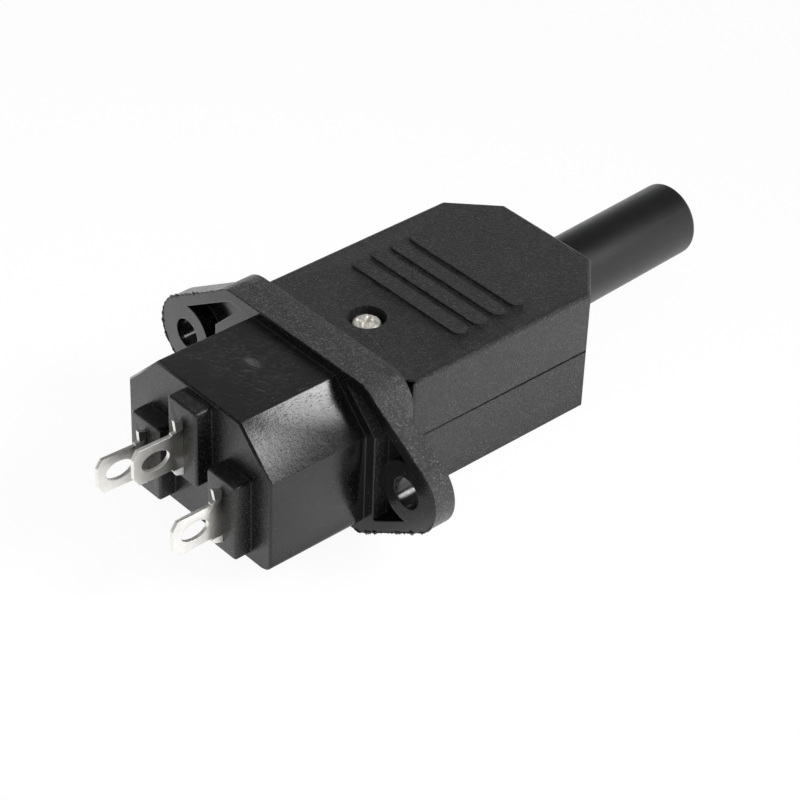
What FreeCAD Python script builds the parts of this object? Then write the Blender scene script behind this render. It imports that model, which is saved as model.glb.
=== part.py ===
import FreeCAD, Part
import math
import os
import Sketcher

# A rewireable C13 cable connector plugged into its screw-mounted C14 panel inlet.
# Origin: halfway between the two flange screw holes, on the face that seats on the panel.
# +X runs out of the panel to the cable boot, +Z is the earth side. All sizes are millimetres.

SIZES = {
    # panel inlet
    "body_width": 26.0,
    "body_height": 18.6,
    "body_depth": 14.0,
    "body_chamfer": 5.5,
    "lower_corner_radius": 1.8,
    "inlet_edge_bevel": 0.25,
    "flange_height": 21.3,
    "flange_thickness": 3.0,
    "ear_shoulder": 12.2,
    "ear_radius": 4.9,
    "hole_spacing": 40.0,
    "hole_diameter": 4.0,
    "countersink_diameter": 4.6,
    "countersink_angle": 90,
    "hood_width": 30.6,
    "hood_thickness": 5.2,
    "hood_corner_radius": 4.0,
    "core_depth": 2.2,
    "core_wall": 1.45,
    "core_corner_radius": 0.4,
    "hole_boss_radius": 4.1,
    "shroud_side_wall": 0.8,
    "shroud_top_wall": 1.1,
    "shroud_floor": 2.4,
    # terminals of the inlet
    "pin_spacing": 14.0,
    "earth_rise": 2.55,
    "line_drop": 3.0,
    "pin_width": 4.0,
    "pin_thickness": 2.0,
    "line_pin_length": 14.4,
    "earth_pin_length": 16.0,
    "pin_tip_chamfer": 0.6,
    "pin_seat_depth": 1.4,
    "block_width": 5.2,
    "block_height": 10.5,
    "block_rise": 2.25,
    "block_edge_radius": 0.5,
    "block_face_bevel": 0.2,
    "earth_block_shift": 0.75,
    "line_block_shift": 0.1,
    "tab_height": 4.8,
    "tab_thickness": 0.5,
    "tab_length": 7.05,
    "tab_tip_run": 0.75,
    "tab_tip_drop": 1.1,
    "tab_shoulder_length": 1.6,
    "tab_shoulder_height": 5.3,
    "tooth_height": 1.1,
    "tooth_length": 1.0,
    "tooth_slant": 0.5,
    "solder_hole_length": 3.9,
    "solder_hole_width": 2.5,
    "solder_hole_offset": 3.95,
    # connector nose and its contacts
    "nose_clearance": 0.3,
    "nose_edge_bevel": 0.4,
    "plug_gap": 0.5,
    "pin_window_margin": 0.25,
    "nose_front_wall": 1.2,
    "chamber_half_width": 1.9,
    "chamber_height": 4.9,
    "neck_wall": 1.3,
    "neck_height": 12.8,
    "rim_side_gap": 0.2,
    "rim_thickness": 1.2,
    "neck_clearance": 0.1,
    "contact_gap": 2.06,
    "contact_sheet": 0.5,
    "contact_height": 4.4,
    "contact_mouth_inset": 1.8,
    "contact_flare": 0.3,
    "contact_flare_length": 1.0,
    "contact_web_reach": 16.6,
    "foot_thickness": 1.0,
    "foot_width": 5.2,
    "foot_length": 6.5,
    "line_foot_start": 13.2,
    "earth_foot_start": 20.0,
    "earth_jog": 1.9,
    # housing
    "housing_length": 35.05,
    "housing_width": 26.4,
    "half_height": 8.4,
    "rear_chamfer": 5.5,
    "front_corner_radius": 0.8,
    "upper_edge_radius": 0.55,
    "lower_edge_bevel": 0.25,
    "seam_bevel": 0.12,
    "housing_wall": 1.5,
    "front_wall": 1.6,
    "rib_count": 4,
    "rib_length": 19.6,
    "rib_width": 2.1,
    "rib_height": 0.22,
    "rib_pitch": 3.07,
    "rib_start": 17.9,
    "shell_screw_x": 11.25,
    "shell_boss_diameter": 5.0,
    "shell_screw_depth": 0.65,
    "shell_bore_diameter": 4.7,
    "shell_screw_clearance": 2.5,
    # screws
    "shell_screw_head": 3.2,
    "shell_screw_head_height": 0.85,
    "shell_screw_shank": 2.2,
    "shell_screw_length": 12.0,
    "shell_screw_recess": 2.2,
    "terminal_screw_head": 4.4,
    "terminal_screw_head_height": 1.7,
    "terminal_screw_shank": 2.6,
    "terminal_screw_length": 3.0,
    "clamp_screw_head": 4.0,
    "clamp_screw_head_height": 1.4,
    "clamp_screw_shank": 2.2,
    "clamp_screw_length": 7.0,
    "clamp_screw_recess": 2.8,
    "drive_width": 0.6,
    "drive_depth": 0.45,
    "wire_plate_clearance": 0.1,
    "wire_plate_thickness": 0.8,
    "screw_clearance": 0.3,
    # cord clamp and boot
    "clamp_x": 30.5,
    "clamp_thickness": 4.5,
    "clamp_side_gap": 1.5,
    "clamp_screw_inset": 2.7,
    "clamp_seat_z": 1.2,
    "clamp_height": 3.4,
    "clamp_arch_radius": 3.6,
    "clamp_boss_diameter": 4.8,
    "boot_diameter": 9.6,
    "boot_bore": 6.8,
    "boot_length": 22.6,
    "boot_collar_diameter": 12.6,
    "boot_collar_thickness": 2.0,
    "boot_clearance": 0.1,
    "boot_lip_bevel": 0.6,
    "bulkhead_thickness": 1.2,
}

doc = FreeCAD.newDocument("power_connector")
sheet = doc.addObject("Spreadsheet::Sheet", "Sizes")
for row, (alias, number) in enumerate(SIZES.items(), 1):
    sheet.set(f"A{row}", alias.replace("_", " "))
    sheet.set(f"B{row}", str(number))
    sheet.setAlias(f"B{row}", alias)
doc.recompute()


def s(text):
    """Expression with every name of a size pointed at the sheet."""
    words = text.replace("(", "( ").replace(")", " )").split()
    return " ".join(f"Sizes.{word}" if word in SIZES else word for word in words)


def value(expression):
    return float(sheet.evalExpression(s(expression)))


# Places that several pieces share, each worked out from the sizes.
FLOOR_X = "shroud_floor - body_depth"
SEAT_X = f"({FLOOR_X} - pin_seat_depth)"
BLOCK_X = "( 0 - body_depth - block_rise )"
NOSE_X = f"({FLOOR_X} + nose_clearance)"
HOUSING_X = "(hood_thickness + plug_gap)"
REAR_X = f"({HOUSING_X} + housing_length)"
RIM_X = f"({HOUSING_X} + front_wall + neck_clearance)"
INNER_HEIGHT = "(half_height - housing_wall)"
WEB_X = f"({FLOOR_X} + contact_web_reach)"
MOUTH_X = f"({NOSE_X} + contact_mouth_inset)"
COLLAR_X = f"({REAR_X} - housing_wall - boot_clearance)"
BULKHEAD_X = f"({COLLAR_X} - boot_collar_thickness - boot_clearance)"
NECK_HALF = "(pin_spacing / 2 + chamber_half_width + neck_wall)"
CLAMP_HALF = "(housing_width / 2 - housing_wall - clamp_side_gap)"
CLAMP_SCREW_Y = f"({CLAMP_HALF} - clamp_screw_inset)"
# Where the lines of the housing's 45 degree rear chamfers meet on the X axis, outside and inside.
OUTER_REACH = f"({REAR_X} + housing_width / 2 - rear_chamfer)"
INNER_REACH = f"({OUTER_REACH} - housing_wall * sqrt(2))"
# Angle between an ear's straight edge and the Y axis: the edge is tangent to the ear's round end.
EAR_RUN = "(hole_spacing / 2 - ear_shoulder)"
EAR_SLANT = (
    f"(atan(flange_height / 2 / {EAR_RUN})"
    f" - asin(ear_radius / sqrt(flange_height * flange_height / 4 + {EAR_RUN} * {EAR_RUN})))"
)
# The pins: name, side along Y, height and pin length.
PINS = {
    "live": ("pin_spacing / 2", "0 - line_drop", "line_pin_length"),
    "neutral": ("0 - pin_spacing / 2", "0 - line_drop", "line_pin_length"),
    "earth": ("0", "earth_rise", "earth_pin_length"),
}
# The contacts: the side of the foot's outer edge, where the foot starts, how far its tail jogs.
CONTACTS = {
    "live": ("1", "line_foot_start", "0"),
    "neutral": ("-1", "line_foot_start", "0"),
    "earth": ("1", "earth_foot_start", "earth_jog"),
}


def bind(target, name, expression):
    target.setExpression(name, s(expression))


def new_body(name, y=None, z=None, x=None):
    body = doc.addObject("PartDesign::Body", name)
    body.Label = name
    for axis, place in (("x", x), ("y", y), ("z", z)):
        if place is not None:
            bind(body, f"Placement.Base.{axis}", place)
    return body


def new_sketch(body, name, plane, offset=None):
    """Sketch on one of the body's own planes, moved along the plane's normal."""
    sketch = body.newObject("Sketcher::SketchObject", name)
    origin_plane = next(f for f in body.Origin.OriginFeatures if f.Role == plane)
    sketch.AttachmentSupport = [(origin_plane, "")]
    sketch.MapMode = "FlatFace"
    if offset is not None:
        bind(sketch, "AttachmentOffset.Base.z", offset)
    return sketch


def fix(sketch, kind, expression, *parts):
    index = sketch.addConstraint(Sketcher.Constraint(kind, *parts, value(expression)))
    bind(sketch, f"Constraints[{index}]", expression)


def fix_point(sketch, geometry, end, x, y):
    fix(sketch, "DistanceX", x, geometry, end)
    fix(sketch, "DistanceY", y, geometry, end)


def outline(sketch, corners):
    """Closed outline through corners (x, y) or, where the corner is round, (x, y, radius)."""
    points = [FreeCAD.Vector(value(c[0]), value(c[1]), 0) for c in corners]
    count = len(corners)
    leaves = []
    arcs = []
    for i, corner in enumerate(corners):
        back = (points[i - 1] - points[i]).normalize()
        ahead = (points[(i + 1) % count] - points[i]).normalize()
        half = back.getAngle(ahead) / 2
        radius = value(corner[2]) if len(corner) > 2 else 0.0
        reach = radius / math.tan(half)
        leaves.append((points[i] + back * reach, points[i] + ahead * reach))
        if radius:
            centre = points[i] + (back + ahead).normalize() * (radius / math.sin(half))
            turn_left = back.cross(ahead).z < 0
            ends = leaves[i] if turn_left else leaves[i][::-1]
            angles = [math.atan2(p.y - centre.y, p.x - centre.x) for p in ends]
            circle = Part.Circle(centre, FreeCAD.Vector(0, 0, 1), radius)
            arcs.append((sketch.addGeometry(Part.ArcOfCircle(circle, *angles)), turn_left))
        else:
            arcs.append(None)
    sides = []
    for i in range(count):
        side = Part.LineSegment(leaves[i][1], leaves[(i + 1) % count][0])
        sides.append(sketch.addGeometry(side))
    for i, corner in enumerate(corners):
        before, after = sides[i - 1], sides[i]
        if arcs[i] is None:
            sketch.addConstraint(Sketcher.Constraint("Coincident", before, 2, after, 1))
            fix_point(sketch, after, 1, corner[0], corner[1])
        else:
            arc, turn_left = arcs[i]
            first, last = (1, 2) if turn_left else (2, 1)
            sketch.addConstraint(Sketcher.Constraint("Tangent", before, 2, arc, first))
            sketch.addConstraint(Sketcher.Constraint("Tangent", arc, last, after, 1))
            tip = sketch.addGeometry(Part.Point(points[i]), True)
            sketch.addConstraint(Sketcher.Constraint("PointOnObject", tip, 1, before))
            sketch.addConstraint(Sketcher.Constraint("PointOnObject", tip, 1, after))
            fix_point(sketch, tip, 1, corner[0], corner[1])
            fix(sketch, "Radius", corner[2], arc)
    return sketch


def rectangle(sketch, x0, x1, y0, y1, radius=None):
    corners = [(x0, y0), (x1, y0), (x1, y1), (x0, y1)]
    if radius is not None:
        corners = [(x, y, radius) for x, y in corners]
    return outline(sketch, corners)


def circle(sketch, x, y, radius):
    ring = Part.Circle(FreeCAD.Vector(value(x), value(y), 0), FreeCAD.Vector(0, 0, 1), value(radius))
    index = sketch.addGeometry(ring)
    fix_point(sketch, index, 3, x, y)
    fix(sketch, "Radius", radius, index)
    return sketch


def oval(sketch, x, y, length, width):
    """Ellipse centred on x, y with its long axis along the sketch's X axis."""
    centre = FreeCAD.Vector(value(x), value(y), 0)
    ring = sketch.addGeometry(Part.Ellipse(centre, value(length) / 2, value(width) / 2))
    sketch.exposeInternalGeometry(ring)
    long_axis, short_axis = ring + 1, ring + 2
    fix_point(sketch, ring, 3, x, y)
    sketch.addConstraint(Sketcher.Constraint("Horizontal", long_axis))
    fix(sketch, "Distance", length, long_axis)
    fix(sketch, "Distance", width, short_axis)
    return sketch


def upright_slot(sketch, x, y, length, width):
    """Slot with round ends, centred on x, y and standing along the sketch's Y axis."""
    reach = f"(({length}) / 2 - ({width}) / 2)"
    radius = f"(({width}) / 2)"
    arcs = []
    for sign, start in (("+", 0), ("-", math.pi)):
        cy = f"{y} {sign} {reach}"
        middle = FreeCAD.Vector(value(x), value(cy), 0)
        ring = Part.Circle(middle, FreeCAD.Vector(0, 0, 1), value(radius))
        arcs.append(sketch.addGeometry(Part.ArcOfCircle(ring, start, start + math.pi)))
        fix_point(sketch, arcs[-1], 3, x, cy)
    fix(sketch, "Radius", radius, arcs[0])
    for first, second in (arcs, arcs[::-1]):
        a = sketch.getPoint(first, 2)
        b = sketch.getPoint(second, 1)
        side = sketch.addGeometry(Part.LineSegment(a, b))
        sketch.addConstraint(Sketcher.Constraint("Tangent", first, 2, side, 1))
        sketch.addConstraint(Sketcher.Constraint("Tangent", side, 2, second, 1))
    return sketch


def pad(body, sketch, length, reverse=False, symmetric=False):
    feature = body.newObject("PartDesign::Pad", f"{sketch.Name}_pad")
    feature.Profile = sketch
    bind(feature, "Length", length)
    feature.Reversed = reverse
    if symmetric:
        feature.SideType = "Symmetric"
    doc.recompute()
    return feature


def pocket(body, sketch, length, reverse=False):
    """Cut against the sketch's normal, or along it when reversed; it has to remove material."""
    volume = body.Shape.Volume
    feature = body.newObject("PartDesign::Pocket", f"{sketch.Name}_pocket")
    feature.Profile = sketch
    bind(feature, "Length", length)
    feature.Reversed = reverse
    doc.recompute()
    if not body.Shape.Volume < volume:
        raise RuntimeError(f"{feature.Name} cuts nothing")
    return feature


def edges_where(body, test):
    return [f"Edge{i}" for i, edge in enumerate(body.Shape.Edges, 1) if test(edge)]


def ease(body, name, kind, size, test):
    """Round or bevel the edges of the body that pass the test."""
    base = body.Tip
    names = edges_where(body, test)
    feature = body.newObject(f"PartDesign::{kind}", name)
    feature.Base = (base, names)
    bind(feature, "Radius" if kind == "Fillet" else "Size", size)
    doc.recompute()
    return feature


def flat_at(axis, place, inside=None):
    """Test for an edge that lies in the plane axis = place and, if given, passes a second test."""
    def test(edge):
        box = edge.BoundBox
        low, high = (getattr(box, f"{axis}Min"), getattr(box, f"{axis}Max"))
        return max(abs(low - place), abs(high - place)) < 1e-4 and (inside is None or inside(box))
    return test


def keyhole(width, height, chamfer, radius=None):
    """Corners of the inlet's section: chamfered on the earth side, rounded on the other."""
    w, t = f"(({width}) / 2)", f"(({height}) / 2)"
    low = [(f"0 - {w}", f"0 - {t}"), (w, f"0 - {t}")]
    if radius is not None:
        low = [(x, y, radius) for x, y in low]
    return low + [
        (w, f"{t} - {chamfer}"),
        (f"{w} - {chamfer}", t),
        (f"0 - {w} + {chamfer}", t),
        (f"0 - {w}", f"{t} - {chamfer}"),
    ]


def ear_outline():
    """Flange that narrows on both sides to the round end of an ear."""
    height = "(flange_height / 2)"
    tip = f"(hole_spacing / 2 + ear_radius / sin({EAR_SLANT}))"
    return [
        ("0 - ear_shoulder", f"0 - {height}"),
        ("ear_shoulder", f"0 - {height}"),
        (tip, "0", "ear_radius"),
        ("ear_shoulder", height),
        ("0 - ear_shoulder", height),
        (f"0 - {tip}", "0", "ear_radius"),
    ]


def core_corners(side):
    """Hollow at the back of one ear, between the shroud, the ear's edges and its screw boss."""
    top = "(flange_height / 2 - core_wall)"
    reach = "(ear_radius - core_wall)"
    strip = "(body_width / 2 + core_wall)"
    slope = "(body_width / 2 + body_height / 2 - body_chamfer + core_wall * sqrt(2))"
    edge_y = f"(hole_spacing / 2 + ({reach} - cos({EAR_SLANT}) * {top}) / sin({EAR_SLANT}))"
    edge_z = f"(({reach} - sin({EAR_SLANT}) * ({strip} - hole_spacing / 2)) / cos({EAR_SLANT}))"
    corners = [
        (f"({slope} - {top})", top),
        (strip, f"({slope} - {strip})"),
        (strip, f"(0 - {edge_z})", "core_corner_radius"),
        (f"(hole_spacing / 2 + {reach} / sin({EAR_SLANT}))", "0", reach),
        (edge_y, top),
    ]
    return [(f"{side} * {c[0]}", *c[1:]) for c in corners]


def make_inlet_body():
    body = new_body("inlet_body")
    ears = outline(new_sketch(body, "ears", "YZ_Plane"), ear_outline())
    pad(body, ears, "flange_thickness")
    hood = new_sketch(body, "hood", "YZ_Plane")
    rectangle(hood, "0 - hood_width / 2", "hood_width / 2", "0 - flange_height / 2", "flange_height / 2",
              "hood_corner_radius")
    pad(body, hood, "hood_thickness")
    shroud = new_sketch(body, "shroud", "YZ_Plane")
    outline(shroud, keyhole("body_width", "body_height", "body_chamfer", "lower_corner_radius"))
    pad(body, shroud, "body_depth", reverse=True)
    ease(body, "shroud_end", "Chamfer", "inlet_edge_bevel", flat_at("X", -value("body_depth")))
    ease(body, "hood_edge", "Chamfer", "inlet_edge_bevel", flat_at("X", value("hood_thickness")))

    blocks = new_sketch(body, "terminal_blocks", "YZ_Plane", "0 - body_depth")
    for name, (y, z, _) in PINS.items():
        shift = "earth_block_shift" if name == "earth" else "line_block_shift"
        rectangle(blocks, f"{y} - block_width / 2", f"{y} + block_width / 2",
                  f"{z} + {shift} - block_height / 2", f"{z} + {shift} + block_height / 2",
                  "block_edge_radius")
    pad(body, blocks, "block_rise", reverse=True)
    ease(body, "block_faces", "Chamfer", "block_face_bevel", flat_at("X", value(BLOCK_X)))

    cavity = new_sketch(body, "cavity", "YZ_Plane", "hood_thickness")
    outline(cavity, keyhole("body_width - 2 * shroud_side_wall", "body_height - 2 * shroud_top_wall",
                            "body_chamfer", "lower_corner_radius / 2"))
    pocket(body, cavity, f"hood_thickness - ({FLOOR_X})")

    cores = new_sketch(body, "ear_cores", "YZ_Plane")
    for side in ("1", "-1"):
        outline(cores, core_corners(side))
    pocket(body, cores, "core_depth", reverse=True)
    bosses = new_sketch(body, "hole_bosses", "YZ_Plane")
    for side in ("", "0 - "):
        circle(bosses, f"{side}hole_spacing / 2", "0", "hole_boss_radius")
    pad(body, bosses, "core_depth")

    holes = new_sketch(body, "screw_holes", "YZ_Plane", "flange_thickness")
    for side in ("", "0 - "):
        circle(holes, f"{side}hole_spacing / 2", "0", "hole_diameter / 2")
    hole = body.newObject("PartDesign::Hole", "countersunk_holes")
    hole.Profile = holes
    bind(hole, "Diameter", "hole_diameter")
    hole.DepthType = "ThroughAll"
    hole.HoleCutType = "Countersink"
    bind(hole, "HoleCutDiameter", "countersink_diameter")
    bind(hole, "HoleCutCountersinkAngle", "countersink_angle")
    doc.recompute()

    seats = new_sketch(body, "pin_seats", "YZ_Plane", FLOOR_X)
    slots = new_sketch(body, "tab_slots", "YZ_Plane", BLOCK_X)
    for y, z, _ in PINS.values():
        rectangle(seats, f"{y} - pin_thickness / 2", f"{y} + pin_thickness / 2",
                  f"{z} - pin_width / 2", f"{z} + pin_width / 2")
        rectangle(slots, f"{y} - tab_thickness / 2", f"{y} + tab_thickness / 2",
                  f"{z} - tab_shoulder_height / 2", f"{z} + tab_shoulder_height / 2")
    pocket(body, seats, "pin_seat_depth")
    pocket(body, slots, f"{SEAT_X} - {BLOCK_X}", reverse=True)
    return body


def make_inlet_pin(name):
    """Flat pin and solder tab in one: the stamped tab runs through the block into the pin."""
    y, z, length = PINS[name]
    body = new_body(f"inlet_pin_{name}", y, z)
    blade = new_sketch(body, f"{name}_blade", "YZ_Plane", SEAT_X)
    rectangle(blade, "0 - pin_thickness / 2", "pin_thickness / 2", "0 - pin_width / 2", "pin_width / 2")
    pad(body, blade, f"pin_seat_depth + {length}")
    tip = value(f"{FLOOR_X} + {length}")
    ease(body, f"{name}_tip", "Chamfer", "pin_tip_chamfer", flat_at("X", tip))

    strip = new_sketch(body, f"{name}_strip", "XZ_Plane")
    shoulder, tab = "(tab_shoulder_height / 2)", "(tab_height / 2)"
    shoulder_x = f"({BLOCK_X} - tab_shoulder_length)"
    tooth_x = f"({BLOCK_X} - tooth_length)"
    tip_x = f"({BLOCK_X} - tab_length)"
    upper = [
        (SEAT_X, shoulder),
        (BLOCK_X, shoulder),
        (BLOCK_X, f"{shoulder} + tooth_height"),
        (f"{tooth_x} + tooth_slant", f"{shoulder} + tooth_height"),
        (tooth_x, shoulder),
        (shoulder_x, shoulder),
        (shoulder_x, tab),
        (f"{tip_x} + tab_tip_run", tab),
        (tip_x, f"{tab} - tab_tip_drop"),
    ]
    lower = [(x, f"0 - ({z_up})") for x, z_up in upper]
    outline(strip, upper + lower[::-1])
    oval(strip, f"{BLOCK_X} - solder_hole_offset", "0", "solder_hole_length", "solder_hole_width")
    pad(body, strip, "tab_thickness", symmetric=True)
    return body


def make_contact_block():
    """Insulating nose with three pin windows, gripped by its neck between the housing shells."""
    body = new_body("contact_block")
    width = "(body_width - 2 * shroud_side_wall - 2 * nose_clearance)"
    height = "(body_height - 2 * shroud_top_wall - 2 * nose_clearance)"
    nose = new_sketch(body, "nose", "YZ_Plane", NOSE_X)
    outline(nose, keyhole(width, height, "body_chamfer", "lower_corner_radius / 2"))
    pad(body, nose, f"{HOUSING_X} - {NOSE_X}")
    ease(body, "nose_edge", "Chamfer", "nose_edge_bevel", flat_at("X", value(NOSE_X)))
    neck = new_sketch(body, "neck", "YZ_Plane", HOUSING_X)
    rectangle(neck, f"0 - {NECK_HALF}", NECK_HALF, "0 - neck_height / 2", "neck_height / 2")
    pad(body, neck, "front_wall + neck_clearance")
    rim = new_sketch(body, "rim", "YZ_Plane", RIM_X)
    rim_half = "(housing_width / 2 - housing_wall - rim_side_gap)"
    rectangle(rim, f"0 - {rim_half}", rim_half,
              f"neck_clearance - {INNER_HEIGHT}", f"{INNER_HEIGHT} - neck_clearance")
    pad(body, rim, "rim_thickness")

    windows = new_sketch(body, "pin_windows", "YZ_Plane", NOSE_X)
    chambers = new_sketch(body, "contact_chambers", "YZ_Plane", f"{NOSE_X} + nose_front_wall")
    for y, z, _ in PINS.values():
        rectangle(windows, f"{y} - pin_thickness / 2 - pin_window_margin",
                  f"{y} + pin_thickness / 2 + pin_window_margin",
                  f"{z} - pin_width / 2 - pin_window_margin",
                  f"{z} + pin_width / 2 + pin_window_margin")
        rectangle(chambers, f"{y} - chamber_half_width", f"{y} + chamber_half_width",
                  f"{z} - chamber_height / 2", f"{z} + chamber_height / 2")
    pocket(body, windows, "nose_front_wall", reverse=True)
    chamber_length = f"{RIM_X} + rim_thickness - {NOSE_X} - nose_front_wall"
    pocket(body, chambers, chamber_length, reverse=True)
    relief = new_sketch(body, "earth_tail_relief", "YZ_Plane", f"{RIM_X} + rim_thickness")
    rectangle(relief, "0", "contact_gap / 2 + contact_sheet + earth_jog + neck_clearance",
              "earth_rise - chamber_height / 2", "earth_rise + chamber_height / 2")
    pocket(body, relief, f"{RIM_X} + rim_thickness - {WEB_X}")
    return body


def make_contact(name):
    """Sprung fork round one pin; its outer leaf runs back and folds into a foot for the wire screw."""
    y, z, _ = PINS[name]
    side, foot_start, jog = CONTACTS[name]
    body = new_body(f"contact_{name}", y, z)
    gap = "(contact_gap / 2)"
    out = f"({gap} + contact_sheet)"
    flare_x = f"({MOUTH_X} + contact_flare_length)"
    back_x = f"({WEB_X} + contact_sheet)"
    jog_x = f"({back_x} + {jog})"
    tail_x = f"({foot_start} + foot_length)"
    fork = [
        (MOUTH_X, f"{out} + contact_flare"),
        (MOUTH_X, f"{gap} + contact_flare"),
        (flare_x, gap),
        (WEB_X, gap),
        (WEB_X, f"0 - {gap}"),
        (flare_x, f"0 - {gap}"),
        (MOUTH_X, f"0 - {gap} - contact_flare"),
        (MOUTH_X, f"0 - {out} - contact_flare"),
        (flare_x, f"0 - {out}"),
        (back_x, f"0 - {out}"),
        (back_x, gap),
    ]
    if jog == "0":
        fork += [(tail_x, gap), (tail_x, out)]
    else:
        fork += [
            (jog_x, f"{gap} + {jog}"),
            (tail_x, f"{gap} + {jog}"),
            (tail_x, f"{out} + {jog}"),
            (jog_x, f"{out} + {jog}"),
            (back_x, out),
        ]
    fork.append((flare_x, out))
    plan = new_sketch(body, f"{name}_fork", "XY_Plane")
    outline(plan, [(x, f"{side} * ({across})") for x, across in fork])
    pad(body, plan, "contact_height", symmetric=True)

    edge = f"({out} + {jog})"
    foot = new_sketch(body, f"{name}_foot", "XY_Plane", "0 - contact_height / 2")
    rectangle(foot, foot_start, tail_x, f"{side} * ({edge} - foot_width)", f"{side} * {edge}")
    pad(body, foot, "foot_thickness")
    thread = new_sketch(body, f"{name}_thread", "XY_Plane", "foot_thickness - contact_height / 2")
    screw_x, screw_y = screw_place(name)
    circle(thread, screw_x, f"{screw_y} - ({y})", "terminal_screw_shank / 2")
    pocket(body, thread, "foot_thickness")
    return body


def screw_place(name):
    """Centre of a foot's screw: clear of the leaf that stands along the foot's outer edge."""
    side, foot_start, jog = CONTACTS[name]
    across = f"{side} * (contact_gap / 2 + {jog} - foot_width / 2 + contact_sheet / 2)"
    return f"{foot_start} + foot_length / 2", f"{PINS[name][0]} + {across}"


def make_screw(name, kind, x, y, seat, recess):
    """Pan-head screw standing on its seat; kind names its sizes and recess its drive."""
    body = new_body(name, y, seat, x)
    head, height = f"{kind}_head / 2", f"{kind}_head_height"
    shank, length = f"{kind}_shank / 2", f"{kind}_length"
    half = new_sketch(body, f"{name}_half", "XZ_Plane")
    outline(half, [
        ("0", f"0 - {length}"),
        (shank, f"0 - {length}"),
        (shank, "0"),
        (head, "0"),
        (head, height),
        ("0", height),
    ])
    turned = body.newObject("PartDesign::Revolution", f"{name}_turned")
    turned.Profile = half
    turned.ReferenceAxis = (half, ["V_Axis"])
    turned.Angle = 360
    doc.recompute()
    drive = new_sketch(body, f"{name}_drive", "XY_Plane", height)
    thin = "(drive_width / 2)"
    if recess == "slot":
        rectangle(drive, f"0 - {head}", head, f"0 - {thin}", thin)
    else:
        reach = f"({kind}_recess / 2)"
        quarter = [(reach, thin), (thin, thin), (thin, reach)]
        corners = []
        for sx, sy in (("1", "1"), ("-1", "1"), ("-1", "-1"), ("1", "-1")):
            part = [(f"{sx} * {a}", f"{sy} * {b}") for a, b in quarter]
            corners += part if sx == sy else part[::-1]
        outline(drive, corners)
    pocket(body, drive, "drive_depth")
    return body


def make_wire_plate(name, x, y, seat):
    body = new_body(name, y, seat, x)
    plate = new_sketch(body, f"{name}_plate", "XY_Plane")
    half = "((foot_width - contact_sheet) / 2 - wire_plate_clearance)"
    rectangle(plate, f"0 - {half}", half, f"0 - {half}", half)
    circle(plate, "0", "0", "terminal_screw_shank / 2 + screw_clearance / 2")
    pad(body, plate, "wire_plate_thickness")
    return body


def plan_corners(front, rear, half, reach, *front_radius):
    """Plan of the housing, outside or inside; its rear chamfers point at reach on the X axis."""
    right = [
        (front, f"0 - {half}", *front_radius),
        (f"{reach} - {half}", f"0 - {half}"),
        (rear, f"{rear} - {reach}"),
    ]
    left = [(x, f"0 - ({across})", *rest) for x, across, *rest in right]
    return right + left[::-1]


def make_shell(name, up):
    """One half of the housing: up is True for the half that takes the screw head."""
    body = new_body(name)
    face = value("half_height") if up else -value("half_height")
    tall = "half_height" if up else "(0 - half_height)"
    plan = new_sketch(body, f"{name}_plan", "XY_Plane")
    outline(plan, plan_corners(HOUSING_X, REAR_X, "(housing_width / 2)", OUTER_REACH,
                               "front_corner_radius"))
    pad(body, plan, "half_height", reverse=not up)
    kind, size = ("Fillet", "upper_edge_radius") if up else ("Chamfer", "lower_edge_bevel")
    ease(body, f"{name}_edge", kind, size, flat_at("Z", face))
    ease(body, f"{name}_seam", "Chamfer", "seam_bevel", flat_at("Z", 0))
    inside = new_sketch(body, f"{name}_inside", "XY_Plane")
    outline(inside, plan_corners(f"({HOUSING_X} + front_wall)", f"({REAR_X} - housing_wall)",
                                 "(housing_width / 2 - housing_wall)", INNER_REACH))
    pocket(body, inside, INNER_HEIGHT, reverse=up)

    rib = new_sketch(body, f"{name}_rib", "XY_Plane", tall)
    upright_slot(rib, "rib_start", "0", "rib_length", "rib_width")
    pad(body, rib, "rib_height", reverse=not up)
    ribs = body.newObject("PartDesign::LinearPattern", f"{name}_ribs")
    ribs.Originals = [body.Tip]
    ribs.Direction = (next(f for f in body.Origin.OriginFeatures if f.Role == "X_Axis"), [""])
    bind(ribs, "Length", "rib_pitch * (rib_count - 1)")
    bind(ribs, "Occurrences", "rib_count")
    body.Tip = ribs
    doc.recompute()

    window = new_sketch(body, f"{name}_window", "YZ_Plane", HOUSING_X)
    half = f"({NECK_HALF} + neck_clearance)"
    top = "(neck_height / 2 + neck_clearance)" if up else "(0 - neck_height / 2 - neck_clearance)"
    rectangle(window, f"0 - {half}", half, "0", top)
    pocket(body, window, "front_wall", reverse=True)

    bulkhead = new_sketch(body, f"{name}_bulkhead", "XY_Plane")
    # Its ends stay inside the chamfered walls, which are thicker across Y than the bulkhead.
    half = f"({INNER_REACH} - {BULKHEAD_X} + (bulkhead_thickness + housing_wall * sqrt(2)) / 2)"
    rectangle(bulkhead, f"{BULKHEAD_X} - bulkhead_thickness", BULKHEAD_X, f"0 - {half}", half)
    pad(body, bulkhead, INNER_HEIGHT, reverse=not up)
    exit_hole = new_sketch(body, f"{name}_cable_exit", "YZ_Plane", REAR_X)
    circle(exit_hole, "0", "0", "boot_diameter / 2 + boot_clearance")
    pocket(body, exit_hole, f"{REAR_X} - {BULKHEAD_X} + bulkhead_thickness")

    boss = new_sketch(body, f"{name}_boss", "XY_Plane")
    circle(boss, "shell_screw_x", "0", "shell_boss_diameter / 2")
    pad(body, boss, INNER_HEIGHT, reverse=not up)
    return body


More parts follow.
